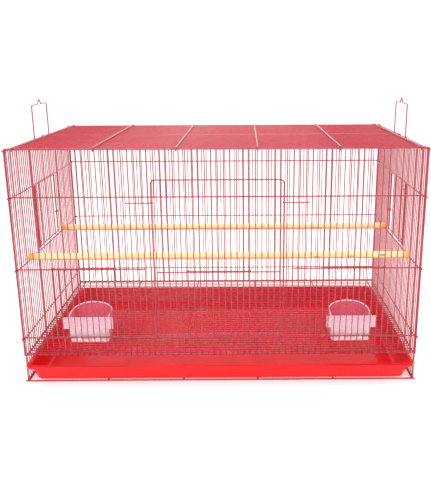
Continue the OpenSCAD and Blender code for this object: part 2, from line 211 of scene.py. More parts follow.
# %% [markdown]
# Tools for wire. A straight wire is a twelve-sided cylinder. A bent one is drawn as a
# wire bender draws it: a disc is pushed straight by extrude and swung round a pin by
# spin, move after move. Twelve sides shade as a round wire, and keep a panel of many
# wires light. A cut end is a little rounded, because the coat is thicker there.

# %% Straight and bent wire
SIDES = 12
SWING = 18


def round_ends(wire, cut):
    if cut:
        soft = wire.modifiers.new("Cut ends", "BEVEL")
        soft.width = cut * MM
        soft.segments = 2
        soft.limit_method = "ANGLE"
        soft.angle_limit = math.radians(55)
        apply(wire)
    return wire


def straight_wire(start, end, thick, cut=0.4):
    deselect()
    a, b = at(*start), at(*end)
    bpy.ops.mesh.primitive_cylinder_add(
        vertices=SIDES, radius=thick / 2 * MM, depth=(b - a).length,
        location=(a + b) / 2, rotation=(b - a).to_track_quat("Z", "Y").to_euler())
    keep_place()
    return round_ends(bpy.context.object, cut)


def bent_wire(start, way, axis, moves, thick, cut=0.4):
    """A wire that lies in one plane, drawn from start along way. A number is a straight
    run; (radius, degrees) is a bend, anticlockwise about the plane's axis."""
    deselect()
    here, way, axis = at(*start), Vector(way).normalized(), Vector(axis).normalized()
    bpy.ops.mesh.primitive_circle_add(
        vertices=SIDES, radius=thick / 2 * MM, fill_type="NGON", location=here,
        rotation=way.to_track_quat("Z", "Y").to_euler())
    keep_place()
    bpy.ops.object.mode_set(mode="EDIT")
    bpy.ops.mesh.select_mode(type="FACE")
    bpy.ops.mesh.select_all(action="SELECT")
    for move in moves:
        if not isinstance(move, tuple):
            bpy.ops.mesh.extrude_region_move(TRANSFORM_OT_translate={"value": way * move * MM})
            here = here + way * move * MM
            continue
        radius, degrees = move
        inside = axis.cross(way) * (1 if degrees > 0 else -1)
        pin = here + inside * radius * MM
        angle = math.radians(degrees)
        # spin turns the other way round than a rotation matrix does
        bpy.ops.mesh.spin(
            steps=max(2, math.ceil(abs(degrees) / SWING)), angle=-angle, center=pin, axis=axis)
        turn = Matrix.Rotation(angle, 3, axis)
        here, way = pin + turn @ (here - pin), turn @ way
    bpy.ops.mesh.select_all(action="SELECT")
    bpy.ops.mesh.remove_doubles(threshold=1e-6)
    bpy.ops.mesh.normals_make_consistent(inside=False)
    bpy.ops.object.mode_set(mode="OBJECT")
    return round_ends(bpy.context.object, cut)


def wrapped_eye(centre, radius, thick, axis, first, turn=344):
    """A wire's end wound nearly once round another wire. It starts on the side first."""
    axis, first = Vector(axis), Vector(first).normalized()
    start = Vector(centre) + first * radius
    return bent_wire(start, axis.cross(first), axis, [(radius, turn)], thick, 0.3)


# %% [markdown]
# What repeats is made once and copied. The Array modifier copies an upright across a
# panel, joined() makes one piece of all the wires of a panel, and mirrored() gives the
# other side of the cage its own mesh. A mirror turns a mesh inside out, so its faces are
# flipped back.

# %% Copies
def row(piece, offset, count):
    if count > 1:
        array = piece.modifiers.new("Row", "ARRAY")
        array.count = count
        array.use_relative_offset = False
        array.use_constant_offset = True
        array.constant_offset_displace = Vector(offset) * MM
        apply(piece)
    return piece


def joined(name, pieces):
    pick(*pieces)
    if len(pieces) > 1:
        bpy.ops.object.join()
    piece = bpy.context.object
    piece.name = piece.data.name = name
    return piece


def copied(piece, offset):
    twin = piece.copy()
    twin.data = piece.data.copy()
    bpy.context.collection.objects.link(twin)
    twin.data.transform(Matrix.Translation(Vector(offset) * MM))
    return twin


def mirrored(piece, axis, name=None):
    """A copy on the other side of the cage's middle, across X or Y."""
    twin = copied(piece, (0, 0, 0))
    middle = Matrix.Translation(Y * cage_middle_y)
    twin.data.transform(middle @ Matrix.Scale(-1, 4, axis) @ middle.inverted())
    twin.data.flip_normals()
    if name:
        twin.name = twin.data.name = name
    return twin


# %% [markdown]
# Where two wires cross, the welder's electrodes press them into each other and a little
# metal swells out. The coat rounds this into a soft bead. A bead is a small flattened
# ball with few faces, because the cage has more than fifteen hundred of them.

# %% Weld beads
def bead(point, thin_axis, size=1.45):
    """A bead at a crossing. thin_axis is the direction from one wire to the other."""
    deselect()
    flat = [size, size, size]
    flat["xyz".index(thin_axis)] = 0.85
    bpy.ops.mesh.primitive_uv_sphere_add(
        segments=8, ring_count=5, radius=MM, location=at(*point), scale=flat)
    keep_place()
    return bpy.context.object


def beads(points, thin_axis, size=1.45):
    return [bead(p, thin_axis, size) for p in points]


# %% [markdown]
# Powder coat. Dry paint is blown on and melted, so the surface is smooth and glossy but
# never quite flat: it has the fine waves of an orange's skin, and the colour is deeper
# where the coat ran thick. One node group holds this effect, and the wire and the tray
# use it with their own colours and scales. The shader stays in each material.

# %% The coat's node group
def new_group(name, inputs, outputs):
    group = bpy.data.node_groups.new(name, "ShaderNodeTree")
    for label, kind, value in inputs:
        socket = group.interface.new_socket(label, in_out="INPUT", socket_type=kind)
        if value is not None:
            socket.default_value = value
    for label, kind in outputs:
        group.interface.new_socket(label, in_out="OUTPUT", socket_type=kind)
    return group, group.nodes.new("NodeGroupInput"), group.nodes.new("NodeGroupOutput")


def noise(tree, vector, scale, detail, roughness=0.5):
    node = tree.nodes.new("ShaderNodeTexNoise")
    node.inputs["Detail"].default_value = detail
    node.inputs["Roughness"].default_value = roughness
    tree.links.new(vector, node.inputs["Vector"])
    if isinstance(scale, (int, float)):
        node.inputs["Scale"].default_value = scale
    else:
        tree.links.new(scale, node.inputs["Scale"])
    return node.outputs["Fac"]


def ranged(tree, value, low, high, to_low, to_high):
    node = tree.nodes.new("ShaderNodeMapRange")
    for label, number in zip(("From Min", "From Max", "To Min", "To Max"),
                             (low, high, to_low, to_high)):
        if isinstance(number, (int, float)):
            node.inputs[label].default_value = number
        else:
            tree.links.new(number, node.inputs[label])
    tree.links.new(value, node.inputs["Value"])
    return node.outputs["Result"]


def mixed(tree, share, one, other, blend="MIX"):
    node = tree.nodes.new("ShaderNodeMix")
    node.data_type = "RGBA"
    node.blend_type = blend
    tree.links.new(share, node.inputs["Factor"])
    for label, colour in (("A", one), ("B", other)):
        socket = [s for s in node.inputs if s.name == label and s.type == "RGBA"][0]
        if isinstance(colour, tuple):
            socket.default_value = (*colour, 1)
        else:
            tree.links.new(colour, socket)
    return [s for s in node.outputs if s.type == "RGBA"][0]


coat, given, gives = new_group(
    "Powder coat",
    [("Vector", "NodeSocketVector", None), ("Thin coat", "NodeSocketColor", (1, 0, 0, 1)),
     ("Thick coat", "NodeSocketColor", (0.5, 0, 0, 1)), ("Patches", "NodeSocketFloat", 60.0),
     ("Peel", "NodeSocketFloat", 500.0), ("Smoothest", "NodeSocketFloat", 0.2),
     ("Roughest", "NodeSocketFloat", 0.35)],
    [("Color", "NodeSocketColor"), ("Roughness", "NodeSocketFloat"),
     ("Height", "NodeSocketFloat")])
patch = noise(coat, given.outputs["Vector"], given.outputs["Patches"], 3)
peel = noise(coat, given.outputs["Vector"], given.outputs["Peel"], 1)
thick_share = ranged(coat, patch, 0.35, 0.65, 0.0, 1.0)
coat.links.new(
    mixed(coat, thick_share, given.outputs["Thin coat"], given.outputs["Thick coat"]),
    gives.inputs["Color"])
coat.links.new(
    ranged(coat, patch, 0.3, 0.7, given.outputs["Smoothest"], given.outputs["Roughest"]),
    gives.inputs["Roughness"])
coat.links.new(peel, gives.inputs["Height"])

# %% [markdown]
# The wire and the tray share the coat. The wire's is deeper in colour and has small waves,
# and the tray's is brighter, smoother and broader. The tray reflects a little less, so
# that its rim stays red under the lamps.

# %% Wire and tray materials
def new_material(name):
    material = bpy.data.materials.new(name)
    material.use_nodes = True
    tree = material.node_tree
    place = tree.nodes.new("ShaderNodeTexCoord").outputs["Object"]
    return material, tree, tree.nodes["Principled BSDF"], place


def bump(tree, shader, height, strength, distance):
    node = tree.nodes.new("ShaderNodeBump")
    node.inputs["Strength"].default_value = strength
    node.inputs["Distance"].default_value = distance
    tree.links.new(height, node.inputs["Height"])
    tree.links.new(node.outputs["Normal"], shader.inputs["Normal"])


def coated(name, thin, thick, patches, peel_scale, smooth, rough, wave, gloss):
    material, tree, shader, place = new_material(name)
    node = tree.nodes.new("ShaderNodeGroup")
    node.node_tree = coat
    tree.links.new(place, node.inputs["Vector"])
    node.inputs["Thin coat"].default_value = (*thin, 1)
    node.inputs["Thick coat"].default_value = (*thick, 1)
    node.inputs["Patches"].default_value = patches
    node.inputs["Peel"].default_value = peel_scale
    node.inputs["Smoothest"].default_value = smooth
    node.inputs["Roughest"].default_value = rough
    tree.links.new(node.outputs["Color"], shader.inputs["Base Color"])
    tree.links.new(node.outputs["Roughness"], shader.inputs["Roughness"])
    bump(tree, shader, node.outputs["Height"], 0.5, wave)
    shader.inputs["Coat Weight"].default_value = gloss
    shader.inputs["Coat Roughness"].default_value = 0.12
    return material


WIRE = coated("red coated wire", (0.54, 0.009, 0.038), (0.36, 0.005, 0.023), 70, 700,
              0.22, 0.36, 0.00004, 0.6)
TRAY = coated("glossy red tray", (0.82, 0.002, 0.008), (0.74, 0.001, 0.006), 14, 240,
              0.14, 0.22, 0.00006, 0.15)
TRAY.node_tree.nodes["Principled BSDF"].inputs["Specular IOR Level"].default_value = 0.25

# %% [markdown]
# Every piece is finished in the same way. settle() names the CAD node that it stands for,
# sets the body that it rides on and its finish, and prints how far its box is from the
# node's box. A wire's round side lies a little inside the CAD wire's corners.

# %% Settle a piece
def settle(piece, node, body, material, smooth=40):
    pick(piece)
    bpy.ops.object.shade_smooth_by_angle(angle=math.radians(smooth))
    piece.data.materials.clear()
    piece.data.materials.append(material)
    for face in piece.data.polygons:
        face.material_index = 0
    low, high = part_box(node)
    corners = [v.co for v in piece.data.vertices]
    mine = [end(c[i] for c in corners) for end in (min, max) for i in range(3)]
    off = max(abs(a - b) for a, b in zip(mine, (*low, *high))) / MM
    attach(piece, body)
    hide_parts(node)
    print(f"{piece.name}: {len(piece.data.polygons)} faces, {off:.2f} mm from its node's box")
    return piece


# %% [markdown]
# The base frame is the heaviest wire. Two long wires lie on the ground, and six cross
# wires are welded between them, end to side. The tray slides over these.

# %% Base frame
rack = 378.1
base_z = heavy / 2
base_half, rack_half, rack_weld = 384, 227.1, 226.9
parts = []
for side in (-1, 1):
    y = side * depth / 2
    parts.append(straight_wire((-base_half, y, base_z), (base_half, y, base_z), heavy, 0.6))
for x in (-rack, *cross_bars[1:5], rack):
    parts.append(straight_wire((x, -rack_half, base_z), (x, rack_half, base_z), heavy, 0))
    parts += beads([(x, -rack_weld, base_z), (x, rack_weld, base_z)], "z", 2.1)
settle(joined("base_wires", parts), "base_frame", "cage", WIRE)

# %% [markdown]
# The floor grille: one thin wire is welded to six rails, and the Array modifier repeats
# it over the depth, beads and all. The two outermost wires stand closer to the rails'
# ends, so they are made one by one.

# %% Floor grille
grille = 55.75
grille_half = 379.4
edge = 223.5
rail_half = 224.8


def grille_wire(y):
    wire = straight_wire((-grille_half, y, grille), (grille_half, y, grille), bar)
    return joined("wire", [wire, *beads([(x, y, grille - 1) for x in cross_bars], "z")])


parts = [row(grille_wire(-19 * pitch_y), (0, pitch_y, 0), 39),
         grille_wire(-edge), grille_wire(edge)]
z = grille - step
parts += [straight_wire((x, -rail_half, z), (x, rail_half, z), rail) for x in cross_bars]
settle(joined("floor_grille_wires", parts), "floor_grille", "cage", WIRE)

# %% [markdown]
# Front and back panels. An upright is welded to every rail that it crosses. The front
# panel has runs of three kinds: whole uprights, uprights cut away behind the two feeder
# doors, and uprights cut away behind the front door. Each run is one upright, arrayed.

# %% Front and back panels
door_half = 10
feeder_middle, feeder_half = 22, 5
weld_front = front + 0.93


def upright(k, low, high, spots):
    x = k * pitch_x
    wire = straight_wire((x, front, low), (x, front, high), bar)
    return joined("upright", [wire, *beads([(x, weld_front, z) for z in spots], "y")])


def uprights(first, last, above=None):
    """A row of uprights. With above, they are cut away between the low rail and it."""
    low, high = levels[0] - rail / 2, levels[-1] + rail / 2
    count = last - first + 1
    if above is None:
        return [row(upright(first, low, high, levels), (pitch_x, 0, 0), count)]
    upper = [z for z in levels if z >= above]
    return [row(upright(first, low, levels[1] + past, levels[:2]), (pitch_x, 0, 0), count),
            row(upright(first, above - past, high, upper), (pitch_x, 0, 0), count)]


def panel_rail(z, start=-width / 2 - 0.4, end=width / 2 + 0.4):
    return straight_wire((start, front_rail, z), (end, front_rail, z), rail)


parts = []
outer, inner = feeder_middle + feeder_half, feeder_middle - feeder_half
for first, last, above in (
        (-bays_x, -outer, None), (1 - outer, -inner - 1, 230.0), (-inner, -door_half - 1, None),
        (-door_half, door_half, 368.0), (door_half + 1, inner, None),
        (inner + 1, outer - 1, 230.0), (outer, bays_x, None)):
    parts += uprights(first, last, above)
parts += [panel_rail(z) for z in (56, 92, 368, 455)]
doorway = (door_half + 2) * pitch_x - 0.4
parts += [panel_rail(230, end=-doorway), panel_rail(230, start=doorway)]
settle(joined("front_panel_wires", parts), "front_panel", "cage", WIRE)

parts = uprights(-bays_x, bays_x) + [panel_rail(z) for z in levels]
back = joined("back_half", parts)
back_panel = mirrored(back, Y, "back_panel_wires")
bpy.data.objects.remove(back)
settle(back_panel, "back_panel", "cage", WIRE)

# %% [markdown]
# A side panel's rails end in hooks that clip round the corner wires, which is how the
# cage comes apart for packing. A hooked rail is one bent wire: a short tail, half a turn,
# the long run, half a turn and a tail.

# %% Side panels
side_levels = [4.35, 53.4, 89.4, 227.4, 365.4, 452.4]
weld_side = side_rail + 1.18


def hooked_rail(z):
    return bent_wire((width / 2 + hook_r, depth / 2 - 6, z), Y, Z,
                     [6, (hook_r, 180), depth, (hook_r, 180), 6], rail)


def side_upright(y, low, high, spots):
    wire = straight_wire((side_bar, y, low), (side_bar, y, high), bar)
    return joined("upright", [wire, *beads([(weld_side, y, z) for z in spots], "x")])


top_end = side_levels[-1] + rail / 2 + 1.2
nest_half = 6
parts = [side_upright(s * side_edge, 0.3, top_end, side_levels) for s in (-1, 1)]
for first, last in ((-19, -nest_half), (nest_half, 19)):
    parts.append(row(side_upright(first * pitch_y, 0.3, top_end, side_levels),
                     (0, pitch_y, 0), last - first + 1))
cut_count = 2 * nest_half - 1
cut_start = (1 - nest_half) * pitch_y
parts.append(row(side_upright(cut_start, 0.3, side_levels[3] + past, side_levels[:4]),
                 (0, pitch_y, 0), cut_count))
parts.append(row(side_upright(cut_start, side_levels[4] - past, top_end, side_levels[4:]),
                 (0, pitch_y, 0), cut_count))
low_rail_half = 225.5
parts += [straight_wire((side_rail, -low_rail_half, z), (side_rail, low_rail_half, z), rail)
          for z in side_levels[:2]]
parts += [hooked_rail(z) for z in side_levels[2:]]
right = joined("right_panel_wires", parts)
left = mirrored(right, X, "left_panel_wires")
settle(right, "right_panel", "cage", WIRE)
settle(left, "left_panel", "cage", WIRE)

# %% [markdown]
# The roof. Thin wires run the long way, six heavy bars cross over them, and the bars'
# ends curl down round the front and back panels' top rails. Three rails curl round the
# side panels' top rails in the same way. A curl is drawn from its tip inwards.

# %% Top panel
roof = 455.55
cross = 457.9
curl_r = cross - levels[-1]
side_curl_r = roof - side_levels[-1]


def curled_wire(middle, out, axis, radius, degrees, run, thick):
    """A wire with both ends curled down. middle is the pin of its first curl."""
    a = math.radians(degrees)
    tip = Vector(middle) + (Z * math.cos(a) + out * math.sin(a)) * radius
    way = Z * math.sin(a) - out * math.cos(a)
    return bent_wire(tip, way, axis, [(radius, degrees), run, (radius, degrees)], thick)


def roof_wire(y, half, thick, curled):
    if curled:
        wire = curled_wire((-half, y, side_levels[-1]), -X, Y, side_curl_r, 150, 2 * half, thick)
    else:
        wire = straight_wire((-half, y, roof), (half, y, roof), thick)
    return joined("roof_wire", [wire, *beads([(x, y, roof + 1) for x in cross_bars], "z")])


parts = [row(roof_wire(-18 * pitch_y, 366, bar, False), (0, pitch_y, 0), 37)]
parts += [roof_wire(y, side_rail, rail, True) for y in (-220.5, pitch_y / 2, 220.5)]
first_bar = curled_wire((cross_bars[0], front_rail, levels[-1]), -Y, -X, curl_r, 165,
                        -2 * front_rail, heavy)
parts += [copied(first_bar, (x - cross_bars[0], 0, 0)) for x in cross_bars[1:]] + [first_bar]
settle(joined("top_panel_wires", parts), "top_panel", "cage", WIRE)

# %% [markdown]
# The front door is one bent frame whose feet are wound into hinge eyes round the low
# rail. Its uprights stand in front of the frame, and are cut away behind the door's own
# small feeder door.

# %% Front door
door_x = (door_half + 0.5) * pitch_x
door_y = -231.1
door_bar = door_y - step
door_low, door_middle, door_top = 99.0, 225.0, 400.0
corner = 8


def door_upright(k, low, spots):
    x = k * pitch_x
    wire = straight_wire((x, door_bar, low - past), (x, door_bar, door_top + past), bar)
    return joined("upright", [wire, *beads([(x, door_bar + 1, z) for z in spots], "y")])


parts = [bent_wire((-door_x, door_y, 91), Z, Y,
                   [door_top - 91 - corner, (corner, 90), 2 * (door_x - corner), (corner, 90),
                    door_top - 91 - corner], rail)]
for s in (-1, 1):
    parts.append(wrapped_eye((s * door_x, front_rail, levels[1]), 2.85, rail, X, -Y + 0.3 * Z))
parts.append(straight_wire((-door_x, door_y, door_low), (door_x, door_y, door_low), rail, 0))
half_bar = door_half * pitch_x
parts.append(straight_wire((-half_bar, door_y, door_middle), (half_bar, door_y, door_middle),
                           rail))
whole = (door_low, door_middle, door_top)
for first, last, low, spots in ((-door_half, -feeder_half, door_low, whole),
                                (1 - feeder_half, feeder_half - 1, door_middle, whole[1:]),
                                (feeder_half, door_half, door_low, whole)):
    parts.append(row(door_upright(first, low, spots), (pitch_x, 0, 0), last - first + 1))
settle(joined("front_door_wires", parts), "front_door", "front_door", WIRE)

# %% [markdown]
# A latch is an eye round the door's side wire and an arm that swings in front of the
# panel. Its tip is bent back to catch between two uprights. The nest doors have the same
# latch with a shorter arm.

# %% Latches
def latch(eye, way, out, tail, reach, dip, name):
    """An eye whose middle is eye, and an arm along way. out points away from the cage."""
    offset, bend = 2.75, 2.5
    eye, start = Vector(eye), Vector(eye) + out * offset - way * tail
    ring = wrapped_eye(eye, 2.6, 2.0, Z, out)
    arm = bent_wire(start, way, Z, [tail + reach - bend, (bend, 90), offset + dip - bend], 2.2)
    return joined(name, [ring, arm])


right = latch((door_x, door_y, 358), X, -Y, 3, 14.5 * pitch_x - door_x, 4.6,
              "front_latch_right_wire")
left = mirrored(right, X, "front_latch_left_wire")
settle(right, "front_latch_right", "front_latch_right", WIRE)
settle(left, "front_latch_left", "front_latch_left", WIRE)

nest_free = 72.75
nest_x = side_bar + 2.6
right = latch((nest_x, nest_free, 276), Y, X, 0.5, 7.5 * pitch_y - nest_free, 2.2,
              "nest_latch_right_wire")
left = mirrored(right, X, "nest_latch_left_wire")
settle(right, "nest_latch_right", "nest_latch_right", WIRE)
settle(left, "nest_latch_left", "nest_latch_left", WIRE)

# %% [markdown]
# A feeder door is a small grille on two heavy bars. The bars' ends are wound round two
# uprights of the panel behind, which guide the door as it slides up.

# %% Feeder doors
def feeder_door(middle_x, guide_y, low, height, name):
    half = feeder_half * pitch_x
    bar_y, grid_y = guide_y - 2.65, guide_y - 4.7
    made = []
    for z in (low, low + height):
        left_end, right_end = middle_x - half - 3, middle_x + half + 3
        made.append(straight_wire((left_end, bar_y, z), (right_end, bar_y, z), 2.4))
        made += [wrapped_eye((middle_x + s * half, guide_y, z), 2.35, 2.0, Z, -Y)
                 for s in (-1, 1)]
    x = middle_x - half
    wire = straight_wire((x, grid_y, low - 1.5), (x, grid_y, low + height + 1.6), bar)
    wire = joined("wire", [wire, *beads([(x, grid_y + 1, z) for z in (low, low + height)], "y")])
    made.append(row(wire, (pitch_x, 0, 0), 2 * feeder_half + 1))
    return joined(name, made)


left = feeder_door(-feeder_middle * pitch_x, front, levels[1] + 2.8, 138,
                   "feeder_door_left_wires")
right = copied(left, (2 * feeder_middle * pitch_x, 0, 0))
right.name = right.data.name = "feeder_door_right_wires"
settle(left, "feeder_door_left", "feeder_door_left", WIRE)
settle(right, "feeder_door_right", "feeder_door_right", WIRE)
middle = feeder_door(0, door_bar, door_low + 2.8, door_middle - door_low,
                     "feeder_door_middle_wires")
settle(middle, "feeder_door_middle", "feeder_door_middle", WIRE)

# %% [markdown]
# A nest door closes the opening in each side panel, where a nest box can be hung. Its
# frame is one bent wire, and two eyes turn round an upright of the side panel.

# %% Nest doors
nest_side = nest_half * pitch_y
nest_low, nest_top = 230.8, 361.65
tall, wide = nest_top - nest_low, nest_side + nest_free
foot, bend = 2, 4
turn = (bend, 90)
parts = [bent_wire((nest_x, -nest_side, nest_low - foot), Z, -X,
                   [tall + foot - bend, turn, wide - 2 * bend, turn, tall - 2 * bend, turn,
                    wide - bend], rail)]
for z in (nest_low + 12, nest_top - 12):
    parts.append(wrapped_eye((side_bar, -nest_side, z), 2.35, 2.0, Z, X))
y = (1 - nest_half) * pitch_y
x = nest_x + step
wire = straight_wire((x, y, nest_low - past), (x, y, nest_top + past), bar)
wire = joined("wire", [wire, *beads([(x - 1, y, z) for z in (nest_low, nest_top)], "x")])
parts.append(row(wire, (0, pitch_y, 0), 2 * nest_half - 1))
right = joined("nest_door_right_wires", parts)
left = mirrored(right, X, "nest_door_left_wires")
settle(right, "nest_door_right", "nest_door_right", WIRE)
settle(left, "nest_door_left", "nest_door_left", WIRE)

# %% [markdown]
# Each handle is a bail bent from one wire: an eye at each foot, two legs, and a cross
# part with a small peak in its middle, which keeps a hook centred.

# %% Handles
leg_y = 4.5 * pitch_y
foot, shoulder, shoulder_r = 455.15, 521.4, 5
peak_half, peak = 12, 10
lean = math.degrees(math.atan2(peak, peak_half))
slope = math.hypot(peak, peak_half)
trim, peak_trim = 2 * math.tan(math.radians(lean / 2)), 2 * math.tan(math.radians(lean))
flat = leg_y - shoulder_r - peak_half - trim
rise = slope - trim - peak_trim
half_bail = [shoulder - foot - shoulder_r, (shoulder_r, 90), flat, (2, -lean), rise]
wire = bent_wire((side_rail, -leg_y, foot), Z, -X,
                 half_bail + [(2, 2 * lean)] + half_bail[::-1], 2.5)
eyes = [wrapped_eye((side_rail, s * leg_y, side_levels[-1]), 2.75, 2.3, Y, Z, 350)
        for s in (-1, 1)]
right = joined("handle_right_wire", [wire, *eyes])
left = mirrored(right, X, "handle_left_wire")
settle(right, "handle_right", "handle_right", WIRE)
settle(left, "handle_left", "handle_left", WIRE)

# %% [markdown]
# The tray is a shallow moulded pan with a flat rim that turns down at its edge. It starts
# as a flat sheet with rounded corners. Inset marks the rim, extrude and scale sink the
# pan with leaning walls, and a second extrude turns the lip down. Solidify then gives the
# sheet its thickness, and Bevel rolls the edges.

# %% Tray
tray_low, tray_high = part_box("tray")
rim_width, lip, lean_in, sheet = 10 * MM, 5 * MM, 8 * MM, 2 * MM
corner_in, inner_bend = 16 * MM, 5 * MM
size = tray_high - tray_low
centre = (tray_low + tray_high) / 2

deselect()
bpy.ops.mesh.primitive_plane_add(size=1, location=(centre.x, centre.y, tray_high.z))
tray = bpy.context.object
tray.scale = (size.x, size.y, 1)
keep_place()
bpy.ops.object.mode_set(mode="EDIT")
bpy.ops.mesh.select_all(action="SELECT")
bpy.ops.mesh.bevel(affect="VERTICES", offset=corner_in, segments=8)
faces_where(lambda c, n: True)
bpy.ops.mesh.inset(thickness=rim_width, depth=0)
sink = size.z - sheet - 0.4 * MM


def shrink(by):
    """Scales the selected face in by the same distance on every side."""
    mesh = bpy.context.object.data
    bpy.ops.object.mode_set(mode="OBJECT")
    chosen = {i for f in mesh.polygons if f.select for i in f.vertices}
    half = [max(abs(mesh.vertices[i].co[a] - centre[a]) for i in chosen) for a in range(2)]
    bpy.ops.object.mode_set(mode="EDIT")
    bpy.ops.transform.resize(
        value=((half[0] - by) / half[0], (half[1] - by) / half[1], 1),
        center_override=(centre.x, centre.y, tray_high.z))


bpy.ops.mesh.extrude_region_move(TRANSFORM_OT_translate={"value": (0, 0, -sink)})
shrink(lean_in + 3 * MM)
pan_z = tray_high.z - sink
edges_where(lambda a, b: max(abs(a.z - pan_z), abs(b.z - pan_z)) < 1e-5)
bpy.ops.mesh.bevel(offset=inner_bend, segments=5, profile=0.5)


def on_outline(p):
    """Whether a point lies on the sheet's outline: its straight sides or round corners."""
    x = abs(p.x - centre.x) - size.x / 2
    y = abs(p.y - centre.y) - size.y / 2
    if x > -corner_in and y > -corner_in:
        return abs(math.hypot(x + corner_in, y + corner_in) - corner_in) < 2e-4
    return max(x, y) > -1e-5


edges_where(lambda a, b: on_outline(a) and on_outline(b) and (a - b).length > 1e-6)
bpy.ops.mesh.extrude_region_move(TRANSFORM_OT_translate={"value": (0, 0, -lip)})
bpy.ops.mesh.select_all(action="SELECT")
bpy.ops.mesh.normals_make_consistent(inside=False)
bpy.ops.object.mode_set(mode="OBJECT")
top_faces = [f for f in tray.data.polygons if f.center.z > tray_high.z - 1e-4]
if top_faces and sum(f.normal.z for f in top_faces) < 0:
    tray.data.flip_normals()
wall = tray.modifiers.new("Sheet", "SOLIDIFY")
wall.thickness = sheet
wall.offset = -1
wall.use_even_offset = True
rolled = tray.modifiers.new("Rolled edges", "BEVEL")
rolled.width = 0.9 * MM
rolled.segments = 3
rolled.limit_method = "ANGLE"
rolled.angle_limit = math.radians(40)
apply(tray)
tray.name = tray.data.name = "tray_pan"
settle(tray, "tray", "tray", TRAY, 35)

# %% [markdown]
# The perches are round pine dowels. The grain runs along the dowel, with a few small
# knots. The ends are darker where they were cut and notched. The underside is painted
# orange, a painted reflection of the red tray's light below it. Wood is a tree's rings cut
# lengthwise, so the grain is made from rings about an axis that leans a little away from
# the dowel's own, not from stripes painted on the outside.

# %% Pine
pine, tree, shader, place = new_material("pine dowel")
grain, given, gives = new_group(
    "Pine grain", [("Vector", "NodeSocketVector", None)],
    [("Color", "NodeSocketColor"), ("Roughness", "NodeSocketFloat"),
     ("Height", "NodeSocketFloat")])
turn = grain.nodes.new("ShaderNodeMapping")
turn.inputs["Location"].default_value = (0.0, 0.07, -0.2)
turn.inputs["Rotation"].default_value = (0.35, 0.012, 0.02)
turn.inputs["Scale"].default_value = (0.06, 1, 1)
grain.links.new(given.outputs["Vector"], turn.inputs["Vector"])
rings = grain.nodes.new("ShaderNodeTexWave")
rings.wave_type = "RINGS"
rings.rings_direction = "X"
for label, number in (("Scale", 95), ("Distortion", 1.6), ("Detail", 2), ("Detail Scale", 3)):
    rings.inputs[label].default_value = number
grain.links.new(turn.outputs["Vector"], rings.inputs["Vector"])
stretched = grain.nodes.new("ShaderNodeMapping")
stretched.inputs["Scale"].default_value = (30, 900, 900)
grain.links.new(given.outputs["Vector"], stretched.inputs["Vector"])
fibre = noise(grain, stretched.outputs["Vector"], 1.0, 3)
blotch = noise(grain, given.outputs["Vector"], 22.0, 2)
knot_place = grain.nodes.new("ShaderNodeMapping")
knot_place.inputs["Scale"].default_value = (14, 60, 60)
grain.links.new(given.outputs["Vector"], knot_place.inputs["Vector"])
knots = grain.nodes.new("ShaderNodeTexVoronoi")
knots.inputs["Scale"].default_value = 1.0
grain.links.new(knot_place.outputs["Vector"], knots.inputs["Vector"])
knot_share = ranged(grain, knots.outputs["Distance"], 0.06, 0.13, 0.9, 0.0)
late_wood = ranged(grain, rings.outputs["Fac"], 0.45, 1.0, 0.0, 0.55)
wood = mixed(grain, late_wood, (0.96, 0.84, 0.46), (0.86, 0.64, 0.28))
wood = mixed(grain, ranged(grain, blotch, 0.35, 0.7, 0.0, 0.5), wood, (0.97, 0.89, 0.56))
wood = mixed(grain, ranged(grain, fibre, 0.4, 0.75, 0.0, 0.25), wood, (0.80, 0.58, 0.26))
wood = mixed(grain, knot_share, wood, (0.34, 0.15, 0.04))
apart = grain.nodes.new("ShaderNodeSeparateXYZ")
grain.links.new(given.outputs["Vector"], apart.inputs["Vector"])
from_middle = grain.nodes.new("ShaderNodeMath")
from_middle.operation = "ABSOLUTE"
grain.links.new(apart.outputs["X"], from_middle.inputs[0])
end_starts, end_full = 356.0 * MM, 374.5 * MM
end_share = ranged(grain, from_middle.outputs[0], end_starts, end_full, 0.0, 0.85)
wood = mixed(grain, end_share, wood, (0.90, 0.36, 0.05))
# Painted reflection: the dowel's underside is painted orange for the red tray's light below it.
painted_bounce_starts, painted_bounce_full = 233.6 * MM, 230.4 * MM
painted_bounce = ranged(grain, apart.outputs["Z"], painted_bounce_starts, painted_bounce_full, 0.0, 0.85)
wood = mixed(grain, painted_bounce, wood, (0.85, 0.26, 0.05))
grain.links.new(wood, gives.inputs["Color"])
grain.links.new(ranged(grain, fibre, 0.3, 0.7, 0.42, 0.62), gives.inputs["Roughness"])
grain.links.new(fibre, gives.inputs["Height"])
node = tree.nodes.new("ShaderNodeGroup")
node.node_tree = grain
tree.links.new(place, node.inputs["Vector"])
tree.links.new(node.outputs["Color"], shader.inputs["Base Color"])
tree.links.new(node.outputs["Roughness"], shader.inputs["Roughness"])
bump(tree, shader, node.outputs["Height"], 0.4, 0.00015)

# %% [markdown]
# A dowel is a cylinder with a chamfer at each end. The notch that sits on the side
# panel's rail is cut by a Boolean with a small block, as a saw cuts it.

# %% Perches
dowel, notch, perch_long = 14, 1, 758.4
perch_z = 235
notch_wide = 3.2


def perch(y, node):
    deselect()
    bpy.ops.mesh.primitive_cylinder_add(
        vertices=48, radius=dowel / 2 * MM, depth=perch_long * MM, location=at(0, y, perch_z),
        rotation=(0, math.pi / 2, 0))
    stick = bpy.context.object
    keep_place()
    round_ends(stick, 0.8)
    for s in (-1, 1):
        deselect()
        bpy.ops.mesh.primitive_cube_add(size=1, location=at(s * side_rail, y, perch_z - dowel / 2))
        block = bpy.context.object
        block.scale = (notch_wide * MM, dowel * MM, 2 * notch * MM)
        keep_place()
        cut = stick.modifiers.new("Notch", "BOOLEAN")
        cut.object = block
        apply(stick)
        bpy.data.objects.remove(block)
    stick.name = stick.data.name = node + "_dowel"
    return settle(stick, node, node, pine)


perch(-154, "perch_front")
perch(88, "perch_back")
